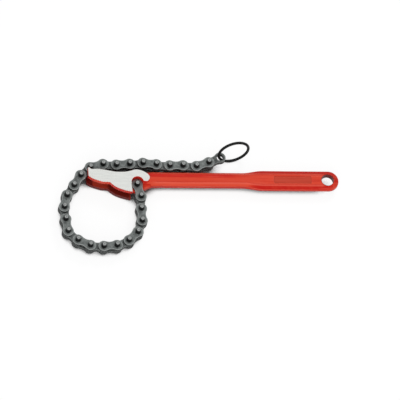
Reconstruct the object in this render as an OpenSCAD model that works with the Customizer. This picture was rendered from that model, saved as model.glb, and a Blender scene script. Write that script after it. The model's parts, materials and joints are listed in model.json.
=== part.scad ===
// Chain pipe wrench: a forged handle with a double jaw, a chain of paired
// plates on long pins, and a finger ring at the chain's free end.
// Millimetres. X runs from the jaw to the grip, Z is up as the wrench lies
// flat. The origin is the middle of the hanging hole.

/* [Handle] */
// Hanging hole to the anchor pin, along the handle
anchor_reach = 227; // [200:1:260]
// Anchor pin below the handle's middle line
anchor_drop = 8.2; // [6:0.1:10]
// Width of the shank
shank_w = 17.8; // [14:0.1:22]
// Thickness of the shank
shank_t = 13; // [10:0.1:16]
// Width of the grip
grip_w = 24.8; // [20:0.1:30]
// Thickness of the grip
grip_t = 8.4; // [6:0.1:14]
// Length of the grip behind the flare
grip_len = 90; // [70:1:120]
// Length of the flare between shank and grip
flare_len = 25; // [15:1:40]
// Width of the grip's chamfer
grip_edge = 5.8; // [2:0.1:7]
// Width of the shank's chamfer
shank_edge = 3.6; // [2:0.1:7]
// Half height of the grip's side
grip_side = 1.7; // [0.8:0.1:3]
// Half height of the shank's side
shank_side = 2.6; // [1:0.1:5]
// Diameter of the hanging hole
hang_d = 14.4; // [10:0.1:18]
// Length of the sunk panel on the grip
panel_len = 45; // [20:1:60]
// Width of the sunk panel on the grip
panel_w = 9.6; // [5:0.1:14]
// Depth of the sunk panel on the grip
panel_depth = 0.6; // [0.2:0.1:1.5]

/* [Jaw] */
// Thickness over both jaw plates
head_t = 23; // [16:0.1:26]
// Width of the slot between the jaw plates
slot_w = 11.4; // [10.8:0.1:14]
// Thickness of the web that carries the anchor pin
web_t = 5.1; // [4:0.1:6]
// Radius of the round pocket for the first link
pocket_r = 7.2; // [7:0.1:9]
// Radius of the web's end round the anchor pin
web_r = 8.9; // [7:0.1:9]
// Depth of the jaw teeth
tooth = 0.7; // [0.3:0.1:1.2]
// Anchor pin to the plane where the jaw head ends and the handle begins
head_len = 24; // [21:1:40]

/* [Chain] */
// Distance between pins
pitch = 15.875; // [12.7:0.005:19.05]
// Radius of a plate's round ends
boss_r = 6.7; // [5:0.1:7]
// Half height of a plate's waist
waist = 4.8; // [3:0.1:6]
// Radius of the waist's hollow
waist_r = 12; // [9:0.5:20]
// Thickness of one plate
plate_t = 2.5; // [1.5:0.1:3]
// Diameter of a pin
pin_d = 5.1; // [4:0.1:6]
// Length of a pin
pin_len = 21; // [16:0.1:24]
// Running clearance on radius between a pin and what turns on it
run_gap = 0.06; // [0.02:0.01:0.1]
// Clearance between neighbouring plates
side_gap = 0.1; // [0.05:0.01:0.3]

/* [Ring] */
// Radius of the ring to the middle of its wire
ring_r = 18.1; // [14:0.1:24]
// Diameter of the ring's wire
wire_d = 3.3; // [2:0.1:4]
// Diameter of the last link's hole for the ring
ring_hole = 7.8; // [6:0.1:8]

/* [Pose] */
// Turn of each link from the one before it, degrees
bend = [-76, -16, 2, -21, -24, -21, -19, -9, -22, -20, -37, -4, -18,
        -20, 2, -16, -25, -19, 8, 0, -11, 1, 6, -4, 22, 9];
// Direction in which the ring points, degrees
ring_turn = 16; // [-20:1:60]
// Rise of the ring from its hole, degrees
ring_rise = 27; // [0:1:40]
// Sideways lean of the ring, degrees
ring_lean = 8; // [-10:1:15]

/* [Hidden] */
$fn = 48;
grip_end = grip_w / 2 + 0.9;
grip_start = grip_end - grip_len;
flare_start = grip_start - flare_len;
shank_start = 10 - anchor_reach;
head_end = head_len - anchor_reach;
inner_z = side_gap / 2;
outer_z = inner_z + plate_t + side_gap;
waist_y = waist + waist_r;
pin_r = pin_d / 2;
turn_r = pin_r + run_gap;
cut = 40;

// Direction of link k, and the middle of pin k seen from the anchor pin
function heading(k) = k == 0 ? 0 : heading(k - 1) + bend[k - 1];
function along(k) = pitch * [cos(heading(k)), sin(heading(k))];
function pin_at(k) = k == 1 ? [0, 0] : pin_at(k - 1) + along(k - 1);

// Smooth line through hand-placed points, n steps from each to the next
function between(a, b, c, d, t) =
    0.5 * (2 * b + (c - a) * t + (2 * a - 5 * b + 4 * c - d) * t * t + (3 * b - a - 3 * c + d) * t * t * t);
function ends(p) = concat([p[0]], p, [p[len(p) - 1]]);
function smooth(q, n) =
    [for (i = [1:len(q) - 3]) for (j = [0:n - 1]) between(q[i - 1], q[i], q[i + 1], q[i + 2], j / n)];
function curve(p, n) = concat(smooth(ends(p), n), [p[len(p) - 1]]);

// Every second point of a line moves into the jaw, which leaves teeth
function toothed(p) = [for (i = [0:len(p) - 1]) p[i] + (i % 2 == 1 ? [0.3, 0.95] * tooth : [0, 0])];

// Upper edge of the head from the front, over the horn and the notch behind
// it, to the round end of the ground face
head_top = curve([[-58, 17.6], [-57.3, 18.8], [-56.2, 18.8], [-55, 17.3], [-53.2, 16.6], [-49, 16.8],
    [-44, 16.7], [-38, 15.7], [-32, 14.4], [-26, 13.4], [-19, 13.2], [-12, 13.7], [-7, 15], [-2, 16.4],
    [3, 16], [8.2, 13.9], [12.4, 10.9], [14.6, 7.6], [14.2, 4], [11.6, 1.3], [9, 1.2]], 4);
head_back = [[0, 4], [-7.6, -2], [-6.8, -12.6]];
heel_lobe = toothed(curve([[-7.2, -13.3], [-14.2, -11.8], [-20.4, -9.7], [-26.1, -7], [-30.3, -3.7]], 6));
lobe_gap = [[-32.1, -1.5], [-33.6, -0.5]];
front_lobe = toothed(curve([[-35.6, -0.7], [-41.1, -0.5], [-47.6, 1.5], [-53.6, 3.9], [-58.1, 7.2]], 6));

// Places the children on the anchor pin's axis
module at_anchor() {
    translate([-anchor_reach, -anchor_drop, 0])
        children();
}

// Places the children on pin k, with X along link k
module at_link(k) {
    at_anchor()
        translate(pin_at(k))
            rotate([0, 0, heading(k)])
                children();
}

// Extrudes the children evenly on both sides of the middle plane
module slab(t) {
    translate([0, 0, -t / 2])
        linear_extrude(t)
            children();
}

// Extrudes the children outward from z on both sides
module both_sides(z, t) {
    translate([0, 0, z])
        linear_extrude(t)
            children();
    translate([0, 0, -z - t])
        linear_extrude(t)
            children();
}

// One section of the handle: a chamfer e wide from the side, which is s high
// from the middle plane, to the flat at half of t
function quarter(w, t, e, s) = [[w / 2, s], [w / 2 - e, t / 2]];
function flip_y(p) = [for (i = [len(p) - 1:-1:0]) [-p[i][0], p[i][1]]];
function flip_z(p) = [for (i = [len(p) - 1:-1:0]) [p[i][0], -p[i][1]]];
function upper(q) = concat(q, flip_y(q));
function section(w, t, e, s) = concat(upper(quarter(w, t, e, s)), flip_z(upper(quarter(w, t, e, s))));
function ease(u) = u * u * (3 - 2 * u);
function mix(a, b, u) = a + (b - a) * u;

// The chamfer keeps its width round the grip's end: half width of the flat
// and thickness at distance d from the middle of the end's arc
end_r = grip_w / 2;
flat_r = end_r - grip_edge;
function flat_half(d) = d < flat_r ? sqrt(flat_r * flat_r - d * d) : 0.05;
function end_t(d) = d < flat_r ? grip_t : mix(grip_t, 2 * grip_side, (d - flat_r) / grip_edge);

// Stations along the handle: place, width, thickness, chamfer, side
flare = [for (u = [0:0.125:1]) [flare_start + flare_len * u, mix(shank_w, grip_w, ease(u)),
    mix(shank_t - 1, grip_t, ease(u)), mix(shank_edge, grip_edge, u), mix(shank_side, grip_side, u)]];
end_round = [for (a = [9:9:81]) [0.9 + end_r * sin(a), grip_w * cos(a), end_t(end_r * sin(a)),
    end_r * cos(a) - flat_half(end_r * sin(a)), grip_side]];
stations = concat([[shank_start, shank_w + 1, shank_t + 1, shank_edge, shank_side],
    [shank_start + 20, shank_w, shank_t, shank_edge, shank_side]], flare,
    [[0.9, grip_w, grip_t, grip_edge, grip_side]], end_round);
ring_n = len(section(10, 5, 1, 1));
loft_pts = [for (s = stations) for (p = section(s[1], s[2], s[3], s[4])) [s[0], p[0], p[1]]];
last = len(stations) - 1;
function quad_a(i, j) = [i * ring_n + j, (i + 1) * ring_n + j, i * ring_n + (j + 1) % ring_n];
function quad_b(i, j) =
    [i * ring_n + (j + 1) % ring_n, (i + 1) * ring_n + j, (i + 1) * ring_n + (j + 1) % ring_n];
loft_faces = concat([[for (j = [0:ring_n - 1]) j]],
    [for (i = [0:last - 1]) for (j = [0:ring_n - 1]) quad_a(i, j)],
    [for (i = [0:last - 1]) for (j = [0:ring_n - 1]) quad_b(i, j)],
    [[for (j = [ring_n - 1:-1:0]) last * ring_n + j]]);

// Shank and grip
module bar() {
    polyhedron(loft_pts, loft_faces);
}

// Full outline of the jaw plates, seen from above
module head_outline() {
    polygon(concat(head_top, head_back, heel_lobe, lobe_gap, front_lobe));
}

// Room between the jaw plates: open at the tip, and a groove along the teeth
module slot_outline() {
    polygon([[-70, 30], [-31, 30], [-31, 8], [-24, 3], [-14, -3], [-9.5, -5.8], [-6, -7.4],
        [-5.5, -20], [-70, -20]]);
}

// Room for the first link, open towards the grip side
module pocket_outline() {
    circle(pocket_r);
    polygon([[0, 0], [-pocket_r, 0], [-6.4, -20], [22, -20], [18, -4], [16, 0.6], [12, 0.9], [9, 1.2]]);
}

// Web round the anchor pin, and on to the root of the shank
module web_outline() {
    circle(web_r);
    polygon([[-4, 10], [-4, 0], [5, -7.3], [9, -5.5], [13, -3.2], [19, -0.6], [19, 14], [4, 15]]);
}

// Sunk panel with round corners
module panel_outline() {
    square([panel_len - 3, panel_w], center = true);
    square([panel_len, panel_w - 3], center = true);
    for (x = [-1, 1])
        for (y = [-1, 1])
            translate([x * (panel_len / 2 - 1.5), y * (panel_w / 2 - 1.5)])
                circle(1.5);
}

// The forging in one piece, with its two holes and the sunk panel
module forging() {
    difference() {
        union() {
            difference() {
                union() {
                    at_anchor()
                        slab(head_t)
                            head_outline();
                    bar();
                }
                at_anchor()
                    slab(slot_w)
                        slot_outline();
                at_anchor()
                    both_sides(web_t / 2, cut)
                        pocket_outline();
            }
            at_anchor()
                slab(web_t)
                    web_outline();
        }
        at_anchor()
            cylinder(h = cut, r = turn_r, center = true);
        cylinder(h = cut, d = hang_d, center = true);
        translate([-41.5, 0, grip_t / 2 - panel_depth])
            linear_extrude(cut)
                panel_outline();
    }
}

// The part of the children on one side of the plane across the shank
module end_part(side) {
    intersection() {
        children();
        translate([head_end + side * 200, 0, 0])
            cube([400, 100, 100], center = true);
    }
}

// Shank and grip, from the plane across the shank to the hanging hole
module handle() {
    color("firebrick")
        end_part(1)
            forging();
}

// Double jaw, web and the shank's root, up to the same plane
module jaw_head() {
    color("firebrick")
        end_part(-1)
            forging();
}

// Outline of a plate with round ends, a hollow waist and two holes
module plate_outline(near_r, far_r) {
    difference() {
        union() {
            circle(boss_r);
            translate([pitch, 0])
                circle(boss_r);
            difference() {
                translate([2, -boss_r + 0.8])
                    square([pitch - 4, 2 * boss_r - 1.6]);
                for (side = [-1, 1])
                    translate([pitch / 2, side * waist_y])
                        circle(waist_r);
            }
        }
        circle(near_r);
        translate([pitch, 0])
            circle(far_r);
    }
}

// Pair of outside plates of chain link 2n - 1
module outer_plates(n) {
    color("dimgray")
        at_link(2 * n - 1)
            both_sides(outer_z, plate_t)
                plate_outline(pin_r, pin_r);
}

// Pair of inside plates of chain link 2n; the last pair has the ring's hole
module inner_plates(n) {
    color("gray")
        at_link(2 * n)
            both_sides(inner_z, plate_t)
                plate_outline(turn_r, n == 13 ? ring_hole / 2 : turn_r);
}

// One long pin with bevelled ends and a small centre mark in each end
module pin() {
    half = pin_len / 2;
    rotate_extrude()
        polygon([[0, -half + 0.5], [0.9, -half], [pin_r - 0.6, -half], [pin_r, -half + 0.6],
            [pin_r, half - 0.6], [pin_r - 0.6, half], [0.9, half], [0, half - 0.5]]);
}

// The two pins that are fixed in the outside plates of link 2n - 1
module pins(n) {
    color("silver")
        at_link(2 * n - 1) {
            pin();
            translate([pitch, 0, 0])
                pin();
        }
}

// Wire ring through the last link's hole
module end_ring() {
    color("black")
        at_anchor()
            translate(pin_at(27))
                rotate([0, -ring_rise, ring_turn])
                    rotate([90 - ring_lean, 0, 0])
                        translate([ring_r, 0, 0])
                            rotate_extrude()
                                translate([ring_r, 0])
                                    circle(d = wire_d, $fn = 24);
}

handle();
jaw_head();
outer_plates(1);  // outer_plates_01
outer_plates(2);  // outer_plates_02
outer_plates(3);  // outer_plates_03
outer_plates(4);  // outer_plates_04
outer_plates(5);  // outer_plates_05
outer_plates(6);  // outer_plates_06
outer_plates(7);  // outer_plates_07
outer_plates(8);  // outer_plates_08
outer_plates(9);  // outer_plates_09
outer_plates(10);  // outer_plates_10
outer_plates(11);  // outer_plates_11
outer_plates(12);  // outer_plates_12
outer_plates(13);  // outer_plates_13
inner_plates(1);  // inner_plates_01
inner_plates(2);  // inner_plates_02
inner_plates(3);  // inner_plates_03
inner_plates(4);  // inner_plates_04
inner_plates(5);  // inner_plates_05
inner_plates(6);  // inner_plates_06
inner_plates(7);  // inner_plates_07
inner_plates(8);  // inner_plates_08
inner_plates(9);  // inner_plates_09
inner_plates(10);  // inner_plates_10
inner_plates(11);  // inner_plates_11
inner_plates(12);  // inner_plates_12
inner_plates(13);  // inner_plates_13
pins(1);  // pins_01
pins(2);  // pins_02
pins(3);  // pins_03
pins(4);  // pins_04
pins(5);  // pins_05
pins(6);  // pins_06
pins(7);  // pins_07
pins(8);  // pins_08
pins(9);  // pins_09
pins(10);  // pins_10
pins(11);  // pins_11
pins(12);  // pins_12
pins(13);  // pins_13
end_ring();
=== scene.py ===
import json
import math
import bpy
import bmesh
from mathutils import Matrix, Vector


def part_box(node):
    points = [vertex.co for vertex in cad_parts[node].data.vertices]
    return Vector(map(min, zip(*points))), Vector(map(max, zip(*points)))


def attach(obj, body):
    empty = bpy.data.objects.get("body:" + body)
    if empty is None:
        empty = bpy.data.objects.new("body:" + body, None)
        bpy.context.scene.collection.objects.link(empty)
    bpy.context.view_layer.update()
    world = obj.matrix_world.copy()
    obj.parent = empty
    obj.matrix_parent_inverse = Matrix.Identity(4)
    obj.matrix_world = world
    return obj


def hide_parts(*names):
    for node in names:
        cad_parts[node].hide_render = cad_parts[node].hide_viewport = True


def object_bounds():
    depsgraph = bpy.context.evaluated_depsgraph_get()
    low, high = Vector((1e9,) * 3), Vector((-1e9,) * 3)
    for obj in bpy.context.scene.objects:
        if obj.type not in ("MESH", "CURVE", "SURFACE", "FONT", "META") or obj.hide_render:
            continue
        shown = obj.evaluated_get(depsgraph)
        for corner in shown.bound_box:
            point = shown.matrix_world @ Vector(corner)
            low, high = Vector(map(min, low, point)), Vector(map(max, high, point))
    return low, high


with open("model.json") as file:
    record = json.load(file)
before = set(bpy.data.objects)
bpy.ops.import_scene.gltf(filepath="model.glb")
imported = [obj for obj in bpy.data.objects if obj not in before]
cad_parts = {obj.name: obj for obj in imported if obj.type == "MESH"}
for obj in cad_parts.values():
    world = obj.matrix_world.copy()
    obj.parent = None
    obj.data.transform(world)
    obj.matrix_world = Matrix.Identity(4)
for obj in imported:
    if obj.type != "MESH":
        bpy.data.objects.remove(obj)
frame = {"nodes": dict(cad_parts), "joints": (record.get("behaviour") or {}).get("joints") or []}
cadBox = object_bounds()
mm = 0.001

# Pin k of the chain stands on hinge k, and the ring hangs in the last hole
hinges = {joint["name"]: Vector(joint["pos_m"]) for joint in frame["joints"]}
pinPlaces = [hinges[name] for name in sorted(hinges) if name.startswith("hinge")] + [hinges["ring_swing"]]
linkCount = len(pinPlaces) - 1


class Wire:
    # a socket that takes part in sums, so a mask reads as plain arithmetic
    def __init__(self, sheet, socket):
        self.sheet = sheet
        self.socket = socket

    def sum(self, operation, *terms):
        return self.sheet.node("ShaderNodeMath", {"operation": operation}, list(terms))

    def __add__(self, other):
        return self.sum("ADD", self, other)

    def __radd__(self, other):
        return self.sum("ADD", other, self)

    def __sub__(self, other):
        return self.sum("SUBTRACT", self, other)

    def __rsub__(self, other):
        return self.sum("SUBTRACT", other, self)

    def __mul__(self, other):
        return self.sum("MULTIPLY", self, other)

    def __rmul__(self, other):
        return self.sum("MULTIPLY", other, self)

    def __pow__(self, other):
        return self.sum("POWER", self, other)

    def __abs__(self):
        return self.sum("ABSOLUTE", self)

    def __neg__(self):
        return self.sum("MULTIPLY", self, -1.0)


class Sheet:
    # a node tree under construction, for materials and for geometry alike
    def __init__(self, tree):
        self.tree = tree

    def node(self, kind, settings=None, values=None, out=0):
        made = self.tree.nodes.new(kind)
        for name, setting in (settings or {}).items():
            setattr(made, name, setting)
        pairs = values.items() if isinstance(values, dict) else enumerate(values or [])
        for key, value in pairs:
            for single in value if isinstance(value, list) else [value]:
                if isinstance(single, Wire):
                    self.tree.links.new(single.socket, made.inputs[key])
                else:
                    made.inputs[key].default_value = single
        return Wire(self, made.outputs[out]) if made.outputs else made

    def noise(self, coords, scale, detail=3.0, rough=0.55, warp=0.0):
        return self.node("ShaderNodeTexNoise", None, {"Vector": coords, "Scale": scale, "Detail": detail,
                                                      "Roughness": rough, "Distortion": warp})

    def ease(self, value, low, high):
        return self.node("ShaderNodeMapRange", {"interpolation_type": "SMOOTHSTEP"},
                         {"Value": value, "From Min": low, "From Max": high})

    def mix(self, factor, first, second):
        return self.node("ShaderNodeMix", {"data_type": "RGBA"}, {0: factor, 6: first, 7: second}, out=2)

    def stretch(self, coords, scale, turn=(0, 0, 0)):
        return self.node("ShaderNodeMapping", None, {"Vector": coords, "Scale": scale, "Rotation": turn})

    def split(self, coords):
        parts = self.tree.nodes.new("ShaderNodeSeparateXYZ")
        self.tree.links.new(coords.socket, parts.inputs[0])
        return [Wire(self, socket) for socket in parts.outputs]

    def bump(self, height, distance, strength=1.0):
        values = {"Height": height, "Distance": distance, "Strength": strength}
        return self.node("ShaderNodeBump", None, values)

    def seen(self):
        # 1 for rays that reach the eye directly, by a reflection or through glass
        ray = self.tree.nodes.new("ShaderNodeLightPath")
        names = ("Is Camera Ray", "Is Glossy Ray", "Is Transmission Ray")
        camera, glossy, clear = [Wire(self, ray.outputs[name]) for name in names]
        return camera + glossy + clear


def newMaterial(name):
    material = bpy.data.materials.new(name)
    material.use_nodes = True
    material.node_tree.nodes.clear()
    return material, Sheet(material.node_tree)


def surface(sheet, values):
    shader = sheet.node("ShaderNodeBsdfPrincipled", None, values)
    sheet.node("ShaderNodeOutputMaterial", None, {"Surface": shader})


def fileColour(red, green, blue):
    # screen colour from 0 to 255, as the linear colour that a shader takes
    parts = [part / 255 for part in (red, green, blue)]
    return (*[part / 12.92 if part < 0.04045 else ((part + 0.055) / 1.055) ** 2.4 for part in parts], 1.0)


# Red paint over the forging, ground off on the two outer faces of the jaw
paintLook = {
    "red": fileColour(224, 42, 31),
    "deepRed": fileColour(198, 28, 22),
    "thinAndLitRed": fileColour(238, 84, 56),
    "rubbedAndLitRed": fileColour(240, 104, 84),
    "dull": fileColour(168, 66, 50),
    "grimeAndShade": fileColour(58, 3, 8),
    "oilAndShade": fileColour(22, 6, 6),
    "steel": fileColour(228, 231, 227),
    "steelDark": fileColour(208, 211, 208),
    "gloss": (1.0, 0.5, 0.42, 1.0),
    "groundFrom": 11.36 * mm,
    "groundTo": 11.48 * mm,
    "grooveHalf": 5.7 * mm,
    "jawEnd": -232 * mm,
    "chainShadeEnd": -206 * mm,
    "lobeStart": -278 * mm,
    "lobeEnd": -260 * mm,
    "ridgeAside": 5.3 * mm,
    "ridgeStep": 1.35 * mm,
    "rootFrom": -210 * mm,
    "rootTo": -203 * mm,
    "flareFrom": -101 * mm,
    "flareTo": -77 * mm,
    "gripFrom": -122 * mm,
    "gripTo": -98 * mm,
    "endFrom": -8 * mm,
    "endTo": -2 * mm,
    "holeRadius": 7.3 * mm,
    "panelDepth": 3.75 * mm,
}


def forgedPaint():
    look = paintLook
    material, sheet = newMaterial("forgedPaint")
    coords = sheet.node("ShaderNodeTexCoord", out="Object")
    edge = sheet.node("ShaderNodeAttribute", {"attribute_name": "edge"}, out="Fac")
    along, aside, up = sheet.split(coords)
    height = abs(up)
    facing = sheet.split(sheet.node("ShaderNodeNewGeometry", out="True Normal"))
    level = abs(facing[2])
    broad = sheet.noise(sheet.stretch(coords, (26, 70, 70)), 1.0, 4.0)
    forged = sheet.noise(coords, 210.0, 5.0, 0.6)
    peel = sheet.noise(coords, 1500.0, 2.0)
    pits = sheet.ease(sheet.noise(coords, 620.0, 3.0, 0.7), 0.66, 0.78)
    drawn = sheet.noise(sheet.stretch(coords, (16, 330, 330)), 1.0, 3.0, 0.6)
    # the ground face ends in a slightly ragged line of paint
    ground = sheet.ease(height + (forged - 0.5) * (0.1 * mm), look["groundFrom"], look["groundTo"])
    streaks = sheet.noise(sheet.stretch(coords, (60, 2600, 2600), (0, 0, 0.5)), 1.0, 3.0, 0.65)
    ridge = sheet.ease(edge + (broad - 0.5) * 0.06, 0.03, 0.16)
    # painted shade: concave broken edges are darkened
    hollowShade = sheet.ease(-edge, 0.03, 0.3)
    # painted shade darkens the jaw's groove and the jaw plate underneath, and a painted highlight lightens
    # the front lobe
    jaw = sheet.ease(-along, -look["jawEnd"], -look["jawEnd"] + 4 * mm)
    lip = look["grooveHalf"]
    groove = 1 - sheet.ease(up + (broad - 0.5) * (2 * mm), lip - 0.5 * mm, lip + 0.5 * mm)
    lobe = sheet.ease(along, look["lobeStart"] - 0.6 * mm, look["lobeStart"] + 0.6 * mm)
    lobe = lobe * (1 - sheet.ease(along, look["lobeEnd"] - 3 * mm, look["lobeEnd"] + 3 * mm))
    paintedLobeHighlight = lobe * sheet.ease(up, -6.2 * mm, -5.2 * mm)
    paintedGrooveShade = jaw * groove * (1 - paintedLobeHighlight)
    # painted shade darkens the top of the jaw where the chain lies over it
    paintedChainShade = sheet.ease(-along, -look["chainShadeEnd"], -look["chainShadeEnd"] + 8 * mm)
    paintedChainShade = paintedChainShade * sheet.ease(facing[1] + (broad - 0.5) * 0.3, 0.35, 0.7)
    # painted shade darkens the hanging hole, whose middle is the origin
    fromHole = (along * along + aside * aside) ** 0.5
    holeShade = 1 - sheet.ease(fromHole + (forged - 0.5) * (0.3 * mm),
                            look["holeRadius"], look["holeRadius"] + 0.5 * mm)
    # the sunk panel of the grip is dull
    sunk = 1 - sheet.ease(height, look["panelDepth"], look["panelDepth"] + 0.2 * mm)
    sunk = sunk * sheet.ease(level, 0.96, 0.99) * sheet.ease(along, look["gripFrom"], look["gripTo"])
    red = sheet.mix(broad, look["deepRed"], look["red"])
    # painted light: the flats and the shank's steep bevels are painted lighter, and the slopes between them
    # darker, by the way each face turns
    patchy = (broad - 0.5) * 0.05 + (forged - 0.5) * 0.03
    flat = sheet.ease(level + patchy, 0.94, 0.99)
    steep = sheet.ease(level, 0.5, 0.6) * (1 - sheet.ease(level, 0.76, 0.88))
    red = sheet.mix((1 - flat) * (1 - steep) * sheet.ease(level, 0.8, 0.9) * 0.7, red, look["deepRed"])
    # painted shade: the flats on the upper side of the shank, where the chain lies, are kept out of the
    # lightening
    upper = sheet.ease(aside + (drawn - 0.5) * (4 * mm), 0.0, 1.6 * mm) * (
        1 - sheet.ease(along, look["gripFrom"], look["gripTo"]))
    red = sheet.mix(flat * (1 - upper) * 0.6 + steep * 0.75, red, look["thinAndLitRed"])
    red = sheet.mix(sheet.ease(forged, 0.35, 0.75) * 0.2, red, look["thinAndLitRed"])
    # lines drawn along the handle by the forging dies
    red = sheet.mix(sheet.ease(drawn, 0.5, 0.72) * 0.4, red, look["rubbedAndLitRed"])
    red = sheet.mix((1 - sheet.ease(drawn, 0.28, 0.46)) * 0.55, red, look["deepRed"])
    # a painted highlight runs along the ridges between flats and bevels, with a painted shade line beside
    # them
    line = look["ridgeAside"] + sheet.ease(along, look["flareFrom"], look["flareTo"]) * look["ridgeStep"]
    offRidge = abs(aside) - line + (drawn - 0.5) * (0.8 * mm)
    onHandle = sheet.ease(along, look["rootFrom"], look["rootTo"])
    onHandle = onHandle * (1 - sheet.ease(along, look["endFrom"], look["endTo"]))
    paintedRidgeHighlight = (1 - sheet.ease(abs(offRidge - 0.8 * mm), 0.3 * mm, 1.1 * mm)) * onHandle
    paintedRidgeShade = (1 - sheet.ease(abs(offRidge + 0.5 * mm), 0.1 * mm, 0.6 * mm)) * onHandle
    # painted shade beside each ridge, then a painted highlight along it
    red = sheet.mix(paintedRidgeShade * 0.5, red, look["deepRed"])
    red = sheet.mix(paintedRidgeHighlight * 0.6, red, look["rubbedAndLitRed"])
    # painted highlight on the front lobe of the jaw
    red = sheet.mix(paintedLobeHighlight * jaw * 0.75, red, look["thinAndLitRed"])
    # rubbed paint on the broken edges, partly a painted highlight
    red = sheet.mix(ridge * (1 - jaw * 0.8) * 0.85, red, look["rubbedAndLitRed"])
    # painted shade in the concave broken edges
    red = sheet.mix(hollowShade * (1 - paintedLobeHighlight) * 0.3, red, look["grimeAndShade"])
    red = sheet.mix(pits * 0.3, red, look["grimeAndShade"])
    # painted shade in the jaw's groove and on the jaw plate underneath
    red = sheet.mix(paintedGrooveShade * 0.8, red, look["grimeAndShade"])
    # painted shade under the chain on the top of the jaw
    red = sheet.mix(paintedChainShade * 0.85, red, look["oilAndShade"])
    red = sheet.mix(sunk * 0.45, red, look["dull"])
    # painted shade in the hanging hole
    red = sheet.mix(holeShade * 0.8, red, look["grimeAndShade"])
    steel = sheet.mix(sheet.ease(streaks, 0.3, 0.7), look["steelDark"], look["steel"])
    paintBump = sheet.bump(forged * 0.8 + peel * 0.06 - pits * 0.35, 0.1 * mm)
    steelBump = sheet.bump(streaks, 0.02 * mm, 0.6)
    bumps = {0: ground, 4: paintBump, 5: steelBump}
    blend = sheet.node("ShaderNodeMix", {"data_type": "VECTOR"}, bumps, out=1)
    paintRough = 0.42 + (forged - 0.5) * 0.2 + pits * 0.2
    steelRough = 0.42 + streaks * 0.2
    surface(sheet, {
        "Base Color": sheet.mix(ground, red, steel),
        "Metallic": ground * 0.25,
        "Roughness": paintRough * (1 - ground) + steelRough * ground,
        "Specular IOR Level": 0.2,
        "Specular Tint": look["gloss"],
        "Normal": blend,
    })
    return material


# Chain: 26 links, outside plates and pins in turn with inside plates
chain = {
    "pitch": 15.875 * mm,
    "endRadius": 6.68 * mm,
    "waistRadius": 12 * mm,
    "thickness": 2.5 * mm,
    "innerFace": 0.05 * mm,
    "outerFace": 2.65 * mm,
    "pinHole": 2.55 * mm,
    "runHole": 2.61 * mm,
    "ringHole": 3.9 * mm,
    "edge": (0.4 * mm, 3, 40),
    "stripWidth": 0.25 * mm,
}

# Oiled grey steel of the stamped plates
plateLook = {
    "grey": fileColour(134, 139, 137),
    "dark": fileColour(92, 96, 95),
    "bright": fileColour(172, 176, 174),
    "oilAndShade": fileColour(14, 15, 15),
    "lowFrom": 2.7 * mm,
    "lowTo": 3.4 * mm,
    "pinRingFrom": 2.8 * mm,
    "pinRingTo": 4.7 * mm,
    "rimFrom": 0.3 * mm,
    "rimTo": 1.5 * mm,
}


def oiledSteel():
    look = plateLook
    material, sheet = newMaterial("oiledSteel")
    coords = sheet.node("ShaderNodeTexCoord", out="Object")
    edge = sheet.node("ShaderNodeAttribute", {"attribute_name": "edge"}, out="Fac")
    level = abs(sheet.split(sheet.node("ShaderNodeNewGeometry", out="True Normal"))[2])
    mottle = sheet.noise(coords, 260.0, 5.0, 0.6, 0.4)
    grain = sheet.noise(coords, 2400.0, 3.0, 0.6)
    # distance from the nearer of the plate's two pins, for a dark ring round each pin that is partly a
    # greasy stain and partly a painted shadow of the pin
    half, reach = chain["pitch"] / 2, chain["waistRadius"] + chain["endRadius"]
    onPlate = sheet.node("ShaderNodeAttribute", {"attribute_name": "onPlate"}, out="Vector")
    across, aside, _ = sheet.split(onPlate)
    across = abs(across - half)
    hub = ((across - half) * (across - half) + aside * aside) ** 0.5
    oilAndPinShadow = 1 - sheet.ease(hub + (mottle - 0.5) * mm, look["pinRingFrom"], look["pinRingTo"])
    # distance from the plate's rim, which is hollow along the waist and round at the ends
    sink = (reach * reach - half * half) ** 0.5 - abs(aside)
    toHollow = (across * across + sink * sink) ** 0.5 - chain["waistRadius"]
    waist = across.sum("LESS_THAN", across, half - chain["endRadius"] * half / reach)
    toRim = waist * toHollow + (1 - waist) * (chain["endRadius"] - hub)
    rim = 1 - sheet.ease(toRim + (mottle - 0.5) * mm, look["rimFrom"], look["rimTo"])
    scratch = sheet.noise(sheet.stretch(coords, (300, 4200, 900), (0, 0, 0.7)), 1.0, 2.0)
    rub = sheet.ease(edge + (grain - 0.5) * 0.25, 0.1, 0.5)
    # painted shade: the sheared sides are painted near black, the faces keep their grey
    side = 1 - sheet.ease(level + (mottle - 0.5) * 0.3, 0.25, 0.7)
    grey = sheet.mix(sheet.ease(mottle, 0.3, 0.72), look["dark"], look["grey"])
    grey = sheet.mix(sheet.ease(scratch, 0.66, 0.76) * 0.35, grey, look["bright"])
    # painted highlight along the rim and the broken edges, partly rubbed wear
    grey = sheet.mix(rim * 0.55, grey, look["bright"])
    grey = sheet.mix(rub * 0.6, grey, look["bright"])
    # dark ring round each pin, partly a greasy stain and partly painted shadow
    grey = sheet.mix(oilAndPinShadow * 0.85, grey, look["oilAndShade"])
    # painted shade: the inside plates, which lie lower, are darkened
    low = 1 - sheet.ease(abs(sheet.split(coords)[2]), look["lowFrom"], look["lowTo"])
    grey = sheet.mix(low * 0.3, grey, look["oilAndShade"])
    # painted shade on the sheared sides
    grey = sheet.mix(side * 0.97, grey, look["oilAndShade"])
    surface(sheet, {
        "Base Color": grey,
        "Metallic": 0.2 - side * 0.2,
        "Roughness": 0.5 + (mottle - 0.5) * 0.3 - rub * 0.1,
        "Specular IOR Level": 0.12,
        "Normal": sheet.bump(grain * 0.5 + mottle + scratch * 0.2, 0.06 * mm),
    })
    return material


# Turned pins, brighter on their ends, their sides and end chamfers painted near black as shade
pinLook = {
    "side": fileColour(16, 17, 17),
    "worn": fileColour(44, 46, 46),
    "end": fileColour(176, 179, 177),
    "ring": fileColour(128, 131, 130),
    "endFrom": 9.9 * mm,
    "endTo": 10.25 * mm,
    "endRadius": 1.95 * mm,
    "endRim": 2.35 * mm,
}


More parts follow.
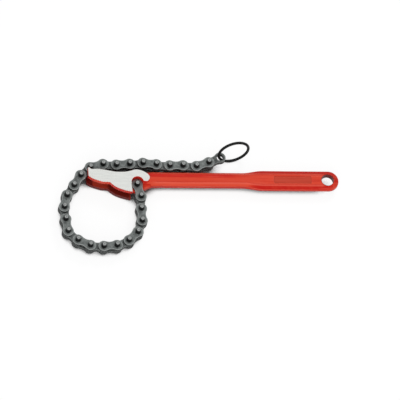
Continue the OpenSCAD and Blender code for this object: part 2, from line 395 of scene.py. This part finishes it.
def turnedSteel():
    look = pinLook
    material, sheet = newMaterial("turnedSteel")
    coords = sheet.node("ShaderNodeTexCoord", out="Object")
    reach = sheet.node("ShaderNodeAttribute", {"attribute_name": "reach"}, out="Fac")
    height = abs(sheet.split(coords)[2])
    grain = sheet.noise(coords, 1800.0, 4.0, 0.6)
    mottle = sheet.noise(coords, 420.0, 4.0)
    turned = sheet.node("ShaderNodeMath", {"operation": "SINE"}, [reach * (math.tau / (0.32 * mm))])
    face = sheet.ease(height + (grain - 0.5) * (0.3 * mm), look["endFrom"], look["endTo"])
    # painted shade: only the flat end is bright, the chamfer round it takes the side's near-black colour
    face = face * (1 - sheet.ease(reach + (grain - 0.5) * (0.3 * mm), look["endRadius"], look["endRim"]))
    end = sheet.mix(sheet.ease(turned + (mottle - 0.5), -0.6, 1.2), look["ring"], look["end"])
    # painted shade: the pin's sides are near black
    side = sheet.mix(sheet.ease(mottle, 0.4, 0.75) * 0.5, look["side"], look["worn"])
    surface(sheet, {
        "Base Color": sheet.mix(face, side, end),
        "Metallic": face * 0.3,
        "Roughness": 0.46 + (grain - 0.5) * 0.2,
        "Specular IOR Level": 0.14,
        "Normal": sheet.bump(turned * face * 0.3 + grain, 0.03 * mm),
    })
    return material


# Blackened wire of the finger ring
wireLook = {
    "black": fileColour(18, 19, 19),
    "worn": fileColour(44, 46, 46),
}


def blackWire():
    look = wireLook
    material, sheet = newMaterial("blackWire")
    coords = sheet.node("ShaderNodeTexCoord", out="Object")
    mottle = sheet.noise(coords, 300.0, 5.0, 0.62)
    grain = sheet.noise(coords, 2600.0, 2.0)
    rub = sheet.ease(mottle, 0.58, 0.72)
    surface(sheet, {
        "Base Color": sheet.mix(rub * 0.5, look["black"], look["worn"]),
        "Metallic": 0.0,
        "Roughness": 0.5 + (grain - 0.5) * 0.25,
        "Specular IOR Level": 0.14,
        "Normal": sheet.bump(mottle + grain * 0.3, 0.05 * mm),
    })
    return material


materials = {"forging": forgedPaint(), "plate": oiledSteel(), "pin": turnedSteel(), "wire": blackWire()}
print("materials:", ", ".join(sorted(materials)))


def bakedMesh(scratch):
    # the evaluated object as a plain mesh; the scratch object goes
    graph = bpy.context.evaluated_depsgraph_get()
    mesh = bpy.data.meshes.new_from_object(scratch.evaluated_get(graph), depsgraph=graph)
    bpy.data.objects.remove(scratch)
    return mesh


def markEdges(mesh, isStrip):
    # stores how far the faces of broken edges bulge out, or sink in, for wear and painted highlights on the
    # bulging ones and painted shade in the sunken ones
    work = bmesh.new()
    work.from_mesh(mesh)
    bulge = {}
    for vert in work.verts:
        angles = [edge.calc_face_angle_signed(0.0) for edge in vert.link_edges]
        bulge[vert.index] = sum(angles) / max(len(angles), 1)
    marks = []
    for face in work.faces:
        worn = isStrip(face)
        marks += [bulge[loop.vert.index] if worn else 0.0 for loop in face.loops]
    work.free()
    mesh.attributes.new("edge", "FLOAT", "CORNER").data.foreach_set("value", marks)


def smoothMesh(mesh, sharpAngle):
    mesh.polygons.foreach_set("use_smooth", [True] * len(mesh.polygons))
    mesh.set_sharp_from_angle(angle=math.radians(sharpAngle))


def addPiece(name, mesh, body, nodeNames):
    mesh.name = name
    piece = bpy.data.objects.new(name, mesh)
    bpy.context.scene.collection.objects.link(piece)
    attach(piece, body)
    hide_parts(*nodeNames)
    return piece


def scratchObject(mesh):
    scratch = bpy.data.objects.new("scratch", mesh)
    bpy.context.scene.collection.objects.link(scratch)
    return scratch


def addBevel(scratch, width, segments, angle):
    bevel = scratch.modifiers.new("edges", "BEVEL")
    bevel.width = width
    bevel.segments = segments
    bevel.limit_method = "ANGLE"
    bevel.angle_limit = math.radians(angle)
    bevel.use_clamp_overlap = False
    return bevel


# Forging: handle and jaw head in one skin, with its edges broken
forging = {
    "ridgeWidth": 1.0 * mm,
    "ridgeAngles": (10, 62),
    "ridgeFrom": -214 * mm,
    "ridgeTo": -2.5 * mm,
    "ridgeHeight": 4 * mm,
    "edgeWidth": 0.4 * mm,
    "edgeAngle": 34,
    "edgeSteps": 3,
    "share": 0.45,
    "tight": [  # boxes in mm, the same above and below the middle plane
        ((-219.5, -8.2, 2.0), (-212.6, -4.6, 8.0)),
        ((-17.0, -12.0, 3.0), (14.0, 12.0, 5.0)),
        ((-60.0, -12.0, 3.4), (-17.0, -4.9, 5.0)),
        ((-60.0, 4.9, 3.4), (-17.0, 12.0, 5.0)),
        ((-21.0, 4.2, 3.4), (-18.5, 5.3, 4.5)),
        ((-212.0, -10.5, 2.0), (-209.0, -7.5, 3.2)),
        ((-220.5, 5.6, 2.0), (-217.0, 7.0, 3.2)),
    ],
    "weld": 0.002 * mm,
    "flat": 0.4,
    "sharp": 40,
    "holeReach": 7.6 * mm,
}


def inTightCorner(place):
    spot = (place.x, place.y, abs(place.z))
    return any(all(low * mm < part < high * mm for low, part, high in zip(start, spot, end))
               for start, end in forging["tight"])


def forgingMesh():
    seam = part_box("handle")[0].x
    work = bmesh.new()
    for nodeName in ("handle", "jaw_head"):
        work.from_mesh(frame["nodes"][nodeName].data)
    work.normal_update()
    caps = [face for face in work.faces
            if all(abs(vert.co.x - seam) < forging["weld"] for vert in face.verts)]
    bmesh.ops.delete(work, geom=caps, context="FACES")
    bmesh.ops.remove_doubles(work, verts=work.verts, dist=forging["weld"])
    bmesh.ops.dissolve_limit(work, angle_limit=math.radians(forging["flat"]),
                             verts=work.verts, edges=work.edges)
    openEdges = sum(1 for edge in work.edges if len(edge.link_faces) != 2)
    # the long ridges of the handle are well rounded, all other edges only broken
    lowAngle, highAngle = forging["ridgeAngles"]
    ridges = []
    for edge in work.edges:
        onHandle = all(forging["ridgeFrom"] < vert.co.x < forging["ridgeTo"] for vert in edge.verts)
        high = all(abs(vert.co.z) > forging["ridgeHeight"] for vert in edge.verts)
        if onHandle and high and lowAngle < math.degrees(edge.calc_face_angle(0.0)) < highAngle:
            ridges.append(edge)
    bmesh.ops.bevel(work, geom=ridges, offset=forging["ridgeWidth"], offset_type="OFFSET", affect="EDGES",
                    segments=forging["edgeSteps"], profile=0.5, clamp_overlap=True, material=1)
    # the width follows the room beside an edge, and edges that crowd together stay sharp
    work.normal_update()
    weights = work.edges.layers.float.new("bevel_weight_edge")
    broken = {edge for edge in work.edges
              if math.degrees(edge.calc_face_angle(0.0)) > forging["edgeAngle"]}
    for edge in broken:
        beside = {other for vert in edge.verts for other in vert.link_edges} - broken
        room = min((other.calc_length() for other in beside), default=forging["edgeWidth"])
        tight = any(inTightCorner(vert.co) for vert in edge.verts)
        edge[weights] = 0.0 if tight else min(1.0, forging["share"] * room / forging["edgeWidth"])
    mesh = bpy.data.meshes.new("forging")
    work.to_mesh(mesh)
    work.free()
    # the bevelled faces are known by the second slot until the marks for wear, painted highlight and
    # painted shade are stored
    mesh.materials.append(materials["forging"])
    mesh.materials.append(materials["forging"])
    scratch = scratchObject(mesh)
    bevel = addBevel(scratch, forging["edgeWidth"], forging["edgeSteps"], forging["edgeAngle"])
    bevel.limit_method = "WEIGHT"
    bevel.material = 1
    mesh = bakedMesh(scratch)
    smoothMesh(mesh, forging["sharp"])
    # the wall of the hanging hole keeps the direction of its own faces
    for face in mesh.polygons:
        face.use_smooth = face.center.xy.length > forging["holeReach"]
    # large flat faces keep their own direction right up to the broken edges
    scratch = scratchObject(mesh)
    even = scratch.modifiers.new("even", "WEIGHTED_NORMAL")
    even.weight = 80
    even.keep_sharp = True
    mesh = bakedMesh(scratch)
    markEdges(mesh, lambda face: face.material_index == 1)
    mesh.polygons.foreach_set("material_index", [0] * len(mesh.polygons))
    mesh.materials.clear()
    mesh.materials.append(materials["forging"])
    print("forging:", len(mesh.polygons), "faces,", openEdges, "open edges before bevel")
    return mesh


addPiece("forging", forgingMesh(), "handle", ("handle", "jaw_head"))


def newTree(name, inputs):
    # an empty geometry tree, its sheet, and its named inputs as wires
    tree = bpy.data.node_groups.new(name, "GeometryNodeTree")
    tree.interface.new_socket("Geometry", in_out="OUTPUT", socket_type="NodeSocketGeometry")
    for label, kind in inputs.items():
        tree.interface.new_socket(label, in_out="INPUT", socket_type="NodeSocket" + kind)
    sheet = Sheet(tree)
    entry = tree.nodes.new("NodeGroupInput")
    return sheet, {label: Wire(sheet, entry.outputs[label]) for label in inputs}


def endTree(sheet, geometry, material):
    # every tree ends in real geometry that carries its material
    real = sheet.node("GeometryNodeRealizeInstances", None, [geometry])
    painted = sheet.node("GeometryNodeSetMaterial", None, {"Geometry": real, "Material": material})
    sheet.node("NodeGroupOutput", None, [painted])
    return sheet.tree


def runTree(tree, values, mesh=None, edges=None):
    scratch = scratchObject(mesh or bpy.data.meshes.new("scratch"))
    modifier = scratch.modifiers.new(tree.name, "NODES")
    modifier.node_group = tree
    for item in tree.interface.items_tree:
        if item.in_out == "INPUT" and item.name in values:
            modifier[item.identifier] = values[item.name]
    if edges:
        addBevel(scratch, *edges)
    return bakedMesh(scratch)


def plateTree():
    # two plates, each a figure of eight: two round ends joined by two hollow arcs
    sheet, given = newTree("chainPlates", {
        "Pitch": "Float", "End Radius": "Float", "Waist Radius": "Float", "Near Hole": "Float",
        "Far Hole": "Float", "Thickness": "Float", "Inner Face": "Float", "Place": "Vector",
        "Turn": "Float", "Material": "Material"})
    half = given["Pitch"] * 0.5
    reach = given["Waist Radius"] + given["End Radius"]
    rise = (reach * reach - half * half) ** 0.5
    lean = sheet.node("ShaderNodeMath", {"operation": "ARCTAN2"}, [rise, half])
    endSweep = math.tau - lean * 2.0
    waistSweep = math.pi - lean * 2.0

    def arc(radius, start, sweep, x, y, steps):
        curve = sheet.node("GeometryNodeCurveArc", {"mode": "RADIUS"}, {
            "Resolution": steps, "Radius": radius, "Start Angle": start, "Sweep Angle": sweep})
        spot = sheet.node("ShaderNodeCombineXYZ", None, [x, y, 0.0])
        return sheet.node("GeometryNodeTransform", None, {"Geometry": curve, "Translation": spot})

    def hole(radius, x):
        curve = sheet.node("GeometryNodeCurvePrimitiveCircle", {"mode": "RADIUS"},
                           {"Resolution": 40, "Radius": radius})
        spot = sheet.node("ShaderNodeCombineXYZ", None, [x, 0.0, 0.0])
        return sheet.node("GeometryNodeTransform", None, {"Geometry": curve, "Translation": spot})

    arcs = [
        arc(given["End Radius"], lean, endSweep, 0.0, 0.0, 33),
        arc(given["Waist Radius"], lean, waistSweep, half, -rise, 13),
        arc(given["End Radius"], lean - math.pi, endSweep, given["Pitch"], 0.0, 33),
        arc(given["Waist Radius"], lean + math.pi, waistSweep, half, rise, 13),
    ]
    rim = sheet.node("GeometryNodeJoinGeometry", None, [arcs])
    rim = sheet.node("GeometryNodeCurveToMesh", None, [rim])
    rim = sheet.node("GeometryNodeMergeByDistance", None, {"Geometry": rim, "Distance": 0.01 * mm})
    rim = sheet.node("GeometryNodeMeshToCurve", None, [rim])
    lines = [rim, hole(given["Near Hole"], 0.0), hole(given["Far Hole"], given["Pitch"])]
    blank = sheet.node("GeometryNodeFillCurve", {"mode": "NGONS"},
                       [sheet.node("GeometryNodeJoinGeometry", None, [lines])])
    raised = sheet.node("GeometryNodeExtrudeMesh", {"mode": "FACES"},
                        {"Mesh": blank, "Offset Scale": given["Thickness"], "Individual": False})
    under = sheet.node("GeometryNodeFlipFaces", None, [blank])
    plate = sheet.node("GeometryNodeJoinGeometry", None, [[raised, under]])
    plate = sheet.node("GeometryNodeMergeByDistance", None, {"Geometry": plate, "Distance": 0.002 * mm})
    # each point keeps its place on the plate, for the dark ring round the pins that is partly a greasy
    # stain and partly painted shadow
    spot = sheet.node("GeometryNodeInputPosition")
    plate = sheet.node("GeometryNodeStoreNamedAttribute", {"data_type": "FLOAT_VECTOR", "domain": "POINT"},
                       {"Geometry": plate, "Name": "onPlate", "Value": spot})
    first = sheet.node("ShaderNodeCombineXYZ", None, [0.0, 0.0, given["Inner Face"]])
    apart = given["Inner Face"] * 2.0 + given["Thickness"]
    step = sheet.node("ShaderNodeCombineXYZ", None, [0.0, 0.0, -apart])
    spots = sheet.node("GeometryNodeMeshLine", {"mode": "OFFSET"},
                       {"Count": 2, "Start Location": first, "Offset": step})
    pair = sheet.node("GeometryNodeInstanceOnPoints", None, {"Points": spots, "Instance": plate})
    turn = sheet.node("ShaderNodeCombineXYZ", None, [0.0, 0.0, given["Turn"]])
    pair = sheet.node("GeometryNodeTransform", None,
                      {"Geometry": pair, "Translation": given["Place"], "Rotation": turn})
    return endTree(sheet, pair, given["Material"])


def pinTree():
    # the profile is swept round a small circle and closes on the pin's own axis
    sheet, given = newTree("chainPins", {
        "Profile": "Geometry", "Pitch": "Float", "Sweep Radius": "Float", "Steps": "Int", "Place": "Vector",
        "Turn": "Float", "Material": "Material"})
    path = sheet.node("GeometryNodeCurvePrimitiveCircle", {"mode": "RADIUS"},
                      {"Resolution": given["Steps"], "Radius": given["Sweep Radius"]})
    path = sheet.node("GeometryNodeSetCurveNormal", {"mode": "Z_UP"}, {"Curve": path})
    profile = sheet.node("GeometryNodeMeshToCurve", None, [given["Profile"]])
    pin = sheet.node("GeometryNodeCurveToMesh", None, {"Curve": path, "Profile Curve": profile})
    pin = sheet.node("GeometryNodeMergeByDistance", None, {"Geometry": pin, "Distance": 0.002 * mm})
    spot = sheet.node("GeometryNodeInputPosition")
    flat = sheet.node("ShaderNodeVectorMath", {"operation": "MULTIPLY"}, [spot, (1.0, 1.0, 0.0)])
    reach = sheet.node("ShaderNodeVectorMath", {"operation": "LENGTH"}, [flat], out="Value")
    pin = sheet.node("GeometryNodeStoreNamedAttribute", {"data_type": "FLOAT", "domain": "POINT"},
                     {"Geometry": pin, "Name": "reach", "Value": reach})
    step = sheet.node("ShaderNodeCombineXYZ", None, [given["Pitch"], 0.0, 0.0])
    spots = sheet.node("GeometryNodeMeshLine", {"mode": "OFFSET"}, {"Count": 2, "Offset": step})
    pair = sheet.node("GeometryNodeInstanceOnPoints", None, {"Points": spots, "Instance": pin})
    turn = sheet.node("ShaderNodeCombineXYZ", None, [0.0, 0.0, given["Turn"]])
    pair = sheet.node("GeometryNodeTransform", None,
                      {"Geometry": pair, "Translation": given["Place"], "Rotation": turn})
    return endTree(sheet, pair, given["Material"])


# Long pins, two in each outside link
pins = {
    "radius": 2.54 * mm,
    "half": 10.5 * mm,
    "chamfer": 0.6 * mm,
    "mark": 0.9 * mm,
    "markDepth": 0.5 * mm,
    "steps": 32,
}


def pinProfile():
    # half section from the lower centre mark to the upper one, x from the sweep circle
    half, radius, chamfer = pins["half"], pins["radius"], pins["chamfer"]
    upper = [(radius, half - chamfer - 0.02 * mm)]
    for step in range(1, 6):
        angle = step * math.pi / 12
        upper.append((radius - chamfer * (1 - math.cos(angle)), half - chamfer * (1 - math.sin(angle))))
    upper += [(radius - chamfer, half), (pins["mark"] + 0.1 * mm, half), (pins["mark"], half - 0.06 * mm),
              (0.0, half - pins["markDepth"])]
    line = [(r, -z) for r, z in reversed(upper)] + upper
    mesh = bpy.data.meshes.new("pinProfile")
    points = [(r - radius / 2, z, 0.0) for r, z in line]
    mesh.from_pydata(points, [(i, i + 1) for i in range(len(points) - 1)], [])
    return mesh


def outward(mesh):
    work = bmesh.new()
    work.from_mesh(mesh)
    bmesh.ops.recalc_face_normals(work, faces=work.faces)
    work.to_mesh(mesh)
    work.free()


plates, turnedPins = plateTree(), pinTree()
for k in range(linkCount):
    along = pinPlaces[k + 1] - pinPlaces[k]
    body = f"link_{k + 1:02d}"
    number = f"{k // 2 + 1:02d}"
    outside = k % 2 == 0
    frameOfLink = {"Place": pinPlaces[k], "Turn": math.atan2(along.y, along.x), "Pitch": chain["pitch"]}
    nearHole = chain["pinHole"] if outside else chain["runHole"]
    mesh = runTree(plates, {
        **frameOfLink, "End Radius": chain["endRadius"], "Waist Radius": chain["waistRadius"],
        "Near Hole": nearHole, "Far Hole": chain["ringHole"] if k == linkCount - 1 else nearHole,
        "Thickness": chain["thickness"],
        "Inner Face": chain["outerFace"] if outside else chain["innerFace"],
        "Material": materials["plate"]}, edges=chain["edge"])
    outward(mesh)
    markEdges(mesh, lambda face: 2 * face.calc_area() < chain["stripWidth"] * face.calc_perimeter())
    smoothMesh(mesh, 35)
    kind = "outer" if outside else "inner"
    addPiece(f"{kind}Link_{number}", mesh, body, [f"{kind}_plates_{number}"])
    if outside:
        mesh = runTree(turnedPins, {
            **frameOfLink, "Sweep Radius": pins["radius"] / 2, "Steps": pins["steps"],
            "Material": materials["pin"]}, mesh=pinProfile())
        outward(mesh)
        smoothMesh(mesh, 50)
        addPiece(f"pinPair_{number}", mesh, body, [f"pins_{number}"])
print("chain:", linkCount, "links")


def ringTree():
    sheet, given = newTree("fingerRing", {
        "Radius": "Float", "Wire": "Float", "Place": "Vector", "Turn": "Vector", "Lift": "Vector",
        "Material": "Material"})
    path = sheet.node("GeometryNodeCurvePrimitiveCircle", {"mode": "RADIUS"},
                      {"Resolution": 96, "Radius": given["Radius"]})
    section = sheet.node("GeometryNodeCurvePrimitiveCircle", {"mode": "RADIUS"},
                         {"Resolution": 20, "Radius": given["Wire"] * 0.5})
    wire = sheet.node("GeometryNodeCurveToMesh", None, {"Curve": path, "Profile Curve": section})
    side = sheet.node("ShaderNodeCombineXYZ", None, [given["Radius"], 0.0, 0.0])
    wire = sheet.node("GeometryNodeTransform", None, {"Geometry": wire, "Translation": side})
    wire = sheet.node("GeometryNodeTransform", None, {"Geometry": wire, "Rotation": given["Lift"]})
    wire = sheet.node("GeometryNodeTransform", None,
                      {"Geometry": wire, "Rotation": given["Turn"], "Translation": given["Place"]})
    return endTree(sheet, wire, given["Material"])


# Finger ring in the last link's hole
ring = {"radius": 18.1 * mm, "wire": 3.3 * mm, "turn": 16, "rise": 27, "lean": 8}
ringMesh = runTree(ringTree(), {
    "Radius": ring["radius"], "Wire": ring["wire"], "Place": pinPlaces[-1],
    "Lift": (math.radians(90 - ring["lean"]), 0.0, 0.0),
    "Turn": (0.0, math.radians(-ring["rise"]), math.radians(ring["turn"])), "Material": materials["wire"]})
outward(ringMesh)
smoothMesh(ringMesh, 60)
addPiece("fingerRing", ringMesh, "ring", ["end_ring"])
print("ring: done")

# Pale floor under the tool, white to the camera and in reflections
stage = {
    "size": 3.0,
    "colour": fileColour(112, 112, 112),
    "glow": 0.88,
    "closeBy": 20 * mm,
    "gap": (0.3, 0.56),
    "dome": 0.42,
}


def paleFloor():
    material, sheet = newMaterial("paleFloor")
    # painted shade: the floor's glow is dimmed by ambient occlusion, so narrow gaps such as between the
    # chain and the jaw stay dark
    clear = sheet.node("ShaderNodeAmbientOcclusion", {"samples": 16},
                       {"Distance": stage["closeBy"]}, out="AO")
    glow = sheet.seen() * sheet.ease(clear, *stage["gap"]) * stage["glow"]
    white = sheet.node("ShaderNodeEmission", None, {"Color": (1, 1, 1, 1), "Strength": glow})
    matt = sheet.node("ShaderNodeBsdfDiffuse", None, {"Color": stage["colour"]})
    both = sheet.node("ShaderNodeAddShader", None, [white, matt])
    sheet.node("ShaderNodeOutputMaterial", None, {"Surface": both})
    return material


floorMesh = bpy.data.meshes.new("floor")
reachOut = stage["size"] / 2
floorZ = cadBox[0].z
corners = ((-1, -1), (1, -1), (1, 1), (-1, 1))
floorMesh.from_pydata([(x * reachOut, y * reachOut, floorZ) for x, y in corners], [], [(0, 1, 2, 3)])
floorMesh.materials.append(paleFloor())
floor = bpy.data.objects.new("floor", floorMesh)
bpy.context.scene.collection.objects.link(floor)

# Camera along the photograph's line of sight, from far off with a long lens
view = {
    "forward": Vector((0.15127, 0.44458, -0.88287)),
    "right": Vector((0.98846, -0.06051, 0.13889)),
    "up": Vector((-0.00833, 0.89369, 0.44860)),
    "middle": Vector((-152.7, -25.6, 0.0)) * mm,
    "width": 469.3 * mm,
    "distance": 20.0,
    "sensor": 36.0,
    "clip": (1.0, 100.0),
}
lens = bpy.data.cameras.new("camera")
lens.sensor_width = view["sensor"]
lens.lens = view["sensor"] * view["distance"] / view["width"]
lens.clip_start, lens.clip_end = view["clip"]
camera = bpy.data.objects.new("camera", lens)
axes = Matrix((view["right"], view["up"], -view["forward"])).transposed().to_4x4()
camera.matrix_world = Matrix.Translation(view["middle"] - view["forward"] * view["distance"]) @ axes
bpy.context.scene.collection.objects.link(camera)
bpy.context.scene.camera = camera

# Soft boxes: a wide one in front, a small one behind and to the right, and one above
lamps = {
    "backBox": {"place": (0.35, 0.95, 1.15), "size": 0.55, "power": 5.5},
    "frontBox": {"place": (-0.6, -1.6, 0.75), "size": 1.6, "power": 18.0},
    "topBox": {"place": (-0.2, 0.0, 1.9), "size": 1.4, "power": 3.0},
}
for name, lamp in lamps.items():
    light = bpy.data.lights.new(name, "AREA")
    light.energy = lamp["power"]
    light.size = lamp["size"]
    box = bpy.data.objects.new(name, light)
    box.location = lamp["place"]
    box.rotation_euler = (view["middle"] - Vector(lamp["place"])).to_track_quat("-Z", "Y").to_euler()
    bpy.context.scene.collection.objects.link(box)

world = bpy.data.worlds.new("studio")
world.use_nodes = True
world.node_tree.nodes.clear()
sky = Sheet(world.node_tree)
dome = sky.node("ShaderNodeBackground", None, {
    "Color": (1, 1, 1, 1), "Strength": stage["dome"] + sky.seen() * (1 - stage["dome"])})
sky.node("ShaderNodeOutputWorld", None, {"Surface": dome})
bpy.context.scene.world = world
bpy.context.scene.view_settings.view_transform = "Standard"
print("stage: floor, camera and", len(lamps), "lamps")
